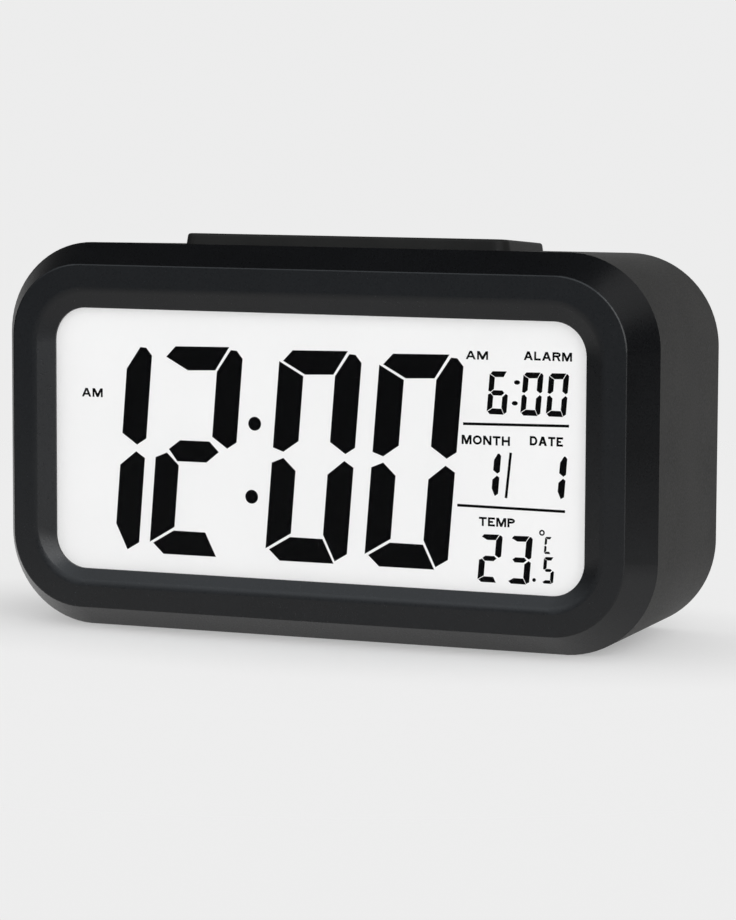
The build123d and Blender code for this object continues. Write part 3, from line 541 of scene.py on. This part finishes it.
def product(tree, first, second):
    """Product of two values."""
    node = tree.nodes.new("ShaderNodeMath")
    node.operation = "MULTIPLY"
    tree.links.new(first, node.inputs[0])
    tree.links.new(second, node.inputs[1])
    return node.outputs["Value"]


def blend_colours(tree, factor, first, second):
    """Colour that runs from the first to the second as the factor goes from 0 to 1."""
    node = tree.nodes.new("ShaderNodeMix")
    node.data_type = "RGBA"
    sockets = [s for s in node.inputs if s.type == "RGBA"]
    for socket, colour in zip(sockets, (first, second)):
        if isinstance(colour, tuple):
            socket.default_value = (*colour, 1)
        else:
            tree.links.new(colour, socket)
    tree.links.new(factor, node.inputs["Factor"])
    return next(s for s in node.outputs if s.type == "RGBA")


def blend_shaders(tree, factor, first, second):
    """Shader node that runs from the first to the second as the factor goes from 0 to 1."""
    mix = tree.nodes.new("ShaderNodeMixShader")
    tree.links.new(factor, mix.inputs["Fac"])
    tree.links.new(first.outputs[0], mix.inputs[1])
    tree.links.new(second.outputs[0], mix.inputs[2])
    return mix


def shade(colour, factor):
    """Lighter or darker colour, no part of it above 1."""
    return tuple(min(1.0, part * factor) for part in colour)


# Finishes

def moulded(name, colour, roughness, grain=0.35, depth=0.012, specular=0.5, spread=0.18):
    """Moulded plastic: soft clouds in its tone, a fine spark-eroded grain in gloss and relief."""
    material, tree, shader = new_material(name)
    clouds = noise(tree, CLOUD_SIZE)
    fine = noise(tree, grain, detail=4.0)
    tone = mottled(tree, clouds, shade(colour, 1 - spread), shade(colour, 1 + spread))
    gloss = level(tree, fine, *(roughness + change for change in PLASTIC_ROUGHNESS_SPREAD))
    tree.links.new(tone, shader.inputs["Base Color"])
    tree.links.new(gloss, shader.inputs["Roughness"])
    shader.inputs["Specular IOR Level"].default_value = specular
    relief(tree, shader, fine, depth)
    return material


def metal(name, colour, roughness, grain=0.6):
    """Rolled or drawn metal whose tone, gloss and surface vary faintly from spot to spot."""
    material, tree, shader = new_material(name)
    spots = noise(tree, grain, detail=5.0)
    tone = mottled(tree, spots, *(shade(colour, factor) for factor in METAL_SHADES))
    gloss = level(tree, spots, roughness, roughness + METAL_ROUGHNESS_SPREAD)
    tree.links.new(tone, shader.inputs["Base Color"])
    tree.links.new(gloss, shader.inputs["Roughness"])
    shader.inputs["Metallic"].default_value = 1.0
    relief(tree, shader, spots, METAL_RELIEF)
    return material


def display_ink():
    """Black of the display figures and legends."""
    material, tree, shader = new_material("display_ink")
    grain = noise(tree, size=0.2)
    tree.links.new(mottled(tree, grain, *INK_TONES), shader.inputs["Base Color"])
    tree.links.new(level(tree, grain, low=0.55, high=0.65), shader.inputs["Roughness"])
    shader.inputs["Specular IOR Level"].default_value = 0.05
    return material


def display_glass():
    """Face of the display: a pale, even diffuser with a painted glow that keeps it bright and softens the
    shade the bezel casts on it.
    """
    material, tree, shader = new_material("lcd_glass")
    clouds = noise(tree, size=25.0, detail=1.0)
    fine = noise(tree, size=0.08, detail=2.0)
    tree.links.new(mottled(tree, clouds, *FACE_TONES), shader.inputs["Base Color"])
    tree.links.new(level(tree, fine, low=0.5, high=0.6), shader.inputs["Roughness"])
    shader.inputs["Specular IOR Level"].default_value = 0.1
    # Painted glow: the face glows though it is no lamp, which keeps it bright and softens the bezel's shade
    # on it
    shader.inputs["Emission Color"].default_value = (*FACE_PAINTED_GLOW, 1)
    shader.inputs["Emission Strength"].default_value = FACE_PAINTED_GLOW_STRENGTH
    return material


def clear_lens():
    """Clear cover: seen through straight on, glossy at a slant."""
    material, tree, shader = new_material("clear_lens")
    tree.nodes.remove(shader)
    clear = tree.nodes.new("ShaderNodeBsdfTransparent")
    gloss = tree.nodes.new("ShaderNodeBsdfGlossy")
    slant = tree.nodes.new("ShaderNodeLayerWeight")
    power = tree.nodes.new("ShaderNodeMath")
    slant.inputs["Blend"].default_value = 0.5
    power.operation = "POWER"
    power.inputs[1].default_value = LENS_GLOSS_POWER
    haze = noise(tree, size=6.0)
    tree.links.new(level(tree, haze, low=0.03, high=0.06), gloss.inputs["Roughness"])
    tree.links.new(slant.outputs["Facing"], power.inputs[0])
    cover = blend_shaders(tree, power.outputs["Value"], clear, gloss)
    tree.links.new(cover.outputs["Shader"], tree.nodes["Material Output"].inputs["Surface"])
    return material


def cell_wrap(name):
    """Plain cell: bare ends, a slate sleeve and a pale band at its plus end."""
    low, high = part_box(name)
    minus_end, plus_end = (high.x, low.x) if name == REVERSED_CELL else (low.x, high.x)
    material, tree, shader = new_material(name + "_wrap")
    place = tree.nodes.new("ShaderNodeTexCoord")
    split = tree.nodes.new("ShaderNodeSeparateXYZ")
    tree.links.new(place.outputs["Object"], split.inputs["Vector"])
    along = rise(tree, split.outputs["X"], minus_end, plus_end)
    colours = ramp(tree, along, CELL_STOPS)
    colours.node.color_ramp.interpolation = "CONSTANT"
    tree.links.new(colours, shader.inputs["Base Color"])
    fine = noise(tree, size=0.5)
    tree.links.new(level(tree, fine, low=0.28, high=0.36), shader.inputs["Roughness"])
    shader.inputs["Metallic"].default_value = 0.75
    relief(tree, shader, fine, METAL_RELIEF)
    return material


# Moulded finishes: colour, roughness, and what differs from the usual plastic
MOULDED = {
    "bezel_black": ((0.0040, 0.0043, 0.0050), 0.31, {"specular": 0.34}),
    "body_black": ((0.0160, 0.0156, 0.0146), 0.46, {"specular": 0.055}),
    "rear_black": ((0.0132, 0.0129, 0.0122), 0.40, {"specular": 0.32}),
    "bar_black": ((0.0185, 0.0185, 0.0181), 0.42, {"specular": 0.06}),
    "key_black": ((0.0190, 0.0190, 0.0190), 0.36, {}),
    "guide_acrylic": ((0.78, 0.82, 0.84), 0.12, {"grain": 1.5, "depth": 0.003}),
    "white_plastic": ((0.72, 0.72, 0.70), 0.45, {"spread": 0.05}),
    "connector_rubber": ((0.10, 0.10, 0.11), 0.70, {"grain": 0.25, "depth": 0.02}),
    "lamp_white": ((0.80, 0.80, 0.76), 0.35, {"spread": 0.04}),
    "board_green": ((0.015, 0.13, 0.045), 0.35, {"grain": 0.8, "depth": 0.02}),
    "resin_black": ((0.010, 0.010, 0.011), 0.18, {"grain": 2.5, "depth": 0.02}),
    "capacitor_sleeve": ((0.015, 0.020, 0.050), 0.30, {}),
    "sleeve_rubber": ((0.32, 0.31, 0.29), 0.75, {"grain": 0.3, "depth": 0.02}),
    "switch_black": ((0.012, 0.012, 0.012), 0.40, {}),
    "ceramic_white": ((0.70, 0.68, 0.62), 0.50, {"grain": 0.3, "depth": 0.01}),
    "lead_red": ((0.35, 0.012, 0.010), 0.45, {"grain": 0.6, "depth": 0.008}),
    "lead_black": ((0.012, 0.012, 0.012), 0.45, {"grain": 0.6, "depth": 0.008}),
    "cable_white": ((0.62, 0.62, 0.60), 0.45, {"grain": 0.6, "depth": 0.008}),
}

# Metals: colour and roughness
METALS = {
    "can_metal": ((0.62, 0.62, 0.60), 0.28),
    "buzzer_brass": ((0.66, 0.46, 0.18), 0.26),
    "spring_steel": ((0.60, 0.59, 0.56), 0.22),
    "screw_steel": ((0.46, 0.45, 0.43), 0.32),
}

# Finishes with a function of their own
SPECIAL = {"clear_lens": clear_lens, "lcd_glass": display_glass, "display_ink": display_ink}

# The rear mouldings are glossier than the shell
OWN_FINISHES = {"rear_cover": "rear_black", "battery_door": "rear_black", "door_latch": "rear_black"}

made_finishes = {}


def finish(name):
    """Material of that finish, made once."""
    if name not in made_finishes:
        if name in MOULDED:
            colour, roughness, changes = MOULDED[name]
            made_finishes[name] = moulded(name, colour, roughness, **changes)
        elif name in METALS:
            made_finishes[name] = metal(name, *METALS[name])
        else:
            made_finishes[name] = SPECIAL[name]()
    return made_finishes[name]


def dress_nodes():
    """Gives each carried-over piece its own finish, or that of its slot."""
    for part in frame["record"]["subparts"]:
        name, slot = part["node"], part["material_slot"]
        material = cell_wrap(name) if slot == "cell_wrap" else finish(OWN_FINISHES.get(name, slot))
        for holder in nodes[name].material_slots:
            holder.material = material


def soft_sleeves():
    """Waisted rubber sleeves under the press bar, in place of the carried-over ones."""
    low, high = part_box("return_sleeves")
    radius = (high.y - low.y) / 2
    middle = (high.y + low.y) / 2
    inner = SLEEVE_BORE * MM
    edge = SLEEVE_EDGE * MM
    lip = 3 * edge
    waist = radius - SLEEVE_WAIST * MM
    centre = (low.z + high.z) / 2
    profile = (
        (inner, low.z), (radius - edge, low.z), (radius, low.z + edge),
        (radius, low.z + lip), (waist, centre), (radius, high.z - lip),
        (radius, high.z - edge), (radius - edge, high.z), (inner, high.z),
    )
    shape = bmesh.new()
    for x in (low.x + radius, high.x - radius):
        rings = []
        for step in range(SLEEVE_SIDES):
            angle = math.tau * step / SLEEVE_SIDES
            rings.append([
                shape.verts.new((x + r * math.cos(angle), middle + r * math.sin(angle), z))
                for r, z in profile
            ])
        for ring, following in zip(rings, rings[1:] + rings[:1]):
            for i in range(len(profile)):
                j = (i + 1) % len(profile)
                shape.faces.new((ring[i], following[i], following[j], ring[j])).smooth = True
    bmesh.ops.recalc_face_normals(shape, faces=shape.faces)
    mesh = bpy.data.meshes.new("soft_sleeves")
    shape.to_mesh(mesh)
    shape.free()
    mesh.materials.append(finish("sleeve_rubber"))
    sleeves = add_object("soft_sleeves", mesh)
    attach(sleeves, "case")
    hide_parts("return_sleeves")
    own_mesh(sleeves)


# Studio

def pale_rays(tree):
    """One for rays that come from the camera, a mirroring surface or clear glass, else zero."""
    path = tree.nodes.new("ShaderNodeLightPath")
    total = path.outputs["Is Camera Ray"]
    for kind in ("Is Glossy Ray", "Is Transmission Ray"):
        node = tree.nodes.new("ShaderNodeMath")
        node.operation = "MAXIMUM"
        tree.links.new(total, node.inputs[0])
        tree.links.new(path.outputs[kind], node.inputs[1])
        total = node.outputs["Value"]
    return total


def floor_card():
    """Pale card whose glow is weaker near the clock, as a painted shade around it, and which fades out far
    from it.
    """
    material, tree, shader = new_material("floor_card")
    fibres = noise(tree, size=2.0)
    tone = mottled(tree, fibres, *(shade(FLOOR_COLOUR, factor) for factor in FLOOR_SHADES))
    tree.links.new(tone, shader.inputs["Base Color"])
    shader.inputs["Roughness"].default_value = 0.9
    shader.inputs["Specular IOR Level"].default_value = 0.0
    place = tree.nodes.new("ShaderNodeTexCoord")
    outline = tree.nodes.new("ShaderNodeMapping")
    outline.inputs["Scale"].default_value = FLOOR_PAINTED_SHADE_SCALE
    tree.links.new(place.outputs["Object"], outline.inputs["Vector"])
    far = rise(tree, length_of(tree, place.outputs["Object"]), *FLOOR_FADE)
    reach = length_of(tree, outline.outputs["Vector"])
    # Painted shade: less glow near the clock darkens the floor there, beyond its real shadow
    paleness_with_painted_shade = level(tree, reach, *FLOOR_PALENESS, *FLOOR_PAINTED_SHADE_REACH)
    pale = tree.nodes.new("ShaderNodeEmission")
    pale.inputs["Color"].default_value = (*FLOOR_GLOW, 1)
    gone = tree.nodes.new("ShaderNodeBsdfTransparent")
    looks = pale_rays(tree)
    near_floor = blend_shaders(tree, product(tree, looks, paleness_with_painted_shade), shader, pale)
    whole_floor = blend_shaders(tree, product(tree, looks, far), near_floor, gone)
    tree.links.new(whole_floor.outputs[0], tree.nodes["Material Output"].inputs["Surface"])
    return material


def pale_floor():
    """Pale floor that keeps the soft shadow of the clock, deepened near it by painted shade."""
    mesh = bpy.data.meshes.new("floor")
    shape = bmesh.new()
    bmesh.ops.create_circle(shape, cap_ends=True, segments=FLOOR_SIDES, radius=FLOOR_RADIUS)
    shape.to_mesh(mesh)
    shape.free()
    mesh.materials.append(floor_card())
    floor = add_object("floor", mesh)
    floor.location.z = -FLOOR_DROP


def studio_world():
    """Soft room light and a pale backdrop.

    Behind the clock, what is mirrored is the backdrop as the camera sees it. In front, at the
    sides and above, a mirrored ray meets the studio room, darker but for a bright panel above.
    """
    world = bpy.data.worlds.new("studio")
    world.use_nodes = True
    bpy.context.scene.world = world
    tree = world.node_tree
    place = tree.nodes.new("ShaderNodeTexCoord")
    split = tree.nodes.new("ShaderNodeSeparateXYZ")
    path = tree.nodes.new("ShaderNodeLightPath")
    tree.links.new(place.outputs["Generated"], split.inputs["Vector"])
    room_depth = rise(tree, split.outputs["Y"], -1.0, 1.0)
    near_wall = ramp(tree, room_depth, list(zip(FRONT_TO_SIDE, (ROOM_FRONT, ROOM_SIDE))))
    ceiling = ramp(tree, room_depth, list(zip(TOP_FRONT_TO_BACK, (ROOM_TOP_FRONT, ROOM_TOP_BACK))))
    behind = rise(tree, split.outputs["Y"], *BACKDROP_START)
    raised = rise(tree, split.outputs["Z"], *CEILING_START)
    wall = blend_colours(tree, behind, near_wall, PALE)
    mirrored = blend_colours(tree, raised, wall, ceiling)
    seen = blend_colours(tree, path.outputs["Is Glossy Ray"], PALE, mirrored)
    light = blend_colours(tree, pale_rays(tree), AMBIENT, seen)
    tree.links.new(light, tree.nodes["Background"].inputs["Color"])


def soft_sun(name, strength, turn, height, width):
    """Far soft lamp: its turn, height and width as seen from the clock, in degrees."""
    lamp = bpy.data.lights.new(name, "SUN")
    lamp.energy = strength
    lamp.angle = math.radians(width)
    around, up = math.radians(turn), math.radians(height)
    towards = Vector((math.sin(around) * math.cos(up), -math.cos(around) * math.cos(up), math.sin(up)))
    add_object(name, lamp).rotation_euler = towards.to_track_quat("Z", "Y").to_euler()


def studio_camera():
    """Camera where the picture was taken from."""
    turn, tilt, roll = (math.radians(a) for a in (CAMERA_TURN, CAMERA_TILT, CAMERA_ROLL))
    ahead = Vector((
        -math.sin(turn) * math.cos(tilt),
        math.cos(turn) * math.cos(tilt),
        -math.sin(tilt),
    ))
    level_right = Vector((math.cos(turn), math.sin(turn), 0))
    level_up = level_right.cross(ahead)
    right = math.cos(roll) * level_right + math.sin(roll) * level_up
    up = math.cos(roll) * level_up - math.sin(roll) * level_right
    lens = bpy.data.cameras.new("camera")
    lens.lens = LENS_MM
    camera = add_object("camera", lens)
    matrix = Matrix((right, up, -ahead)).transposed().to_4x4()
    matrix.translation = Vector(CAMERA_PLACE)
    camera.matrix_world = matrix
    bpy.context.scene.camera = camera


dress_nodes()
time_figures()
alarm_figures()
date_figures()
temperature_figures()
divider_lines()
legends()
soft_sleeves()
pale_floor()
studio_world()
soft_sun("front_softbox", **FRONT_LAMP)
soft_sun("rear_softbox", **REAR_LAMP)
studio_camera()
bpy.context.scene.view_settings.view_transform = "Standard"
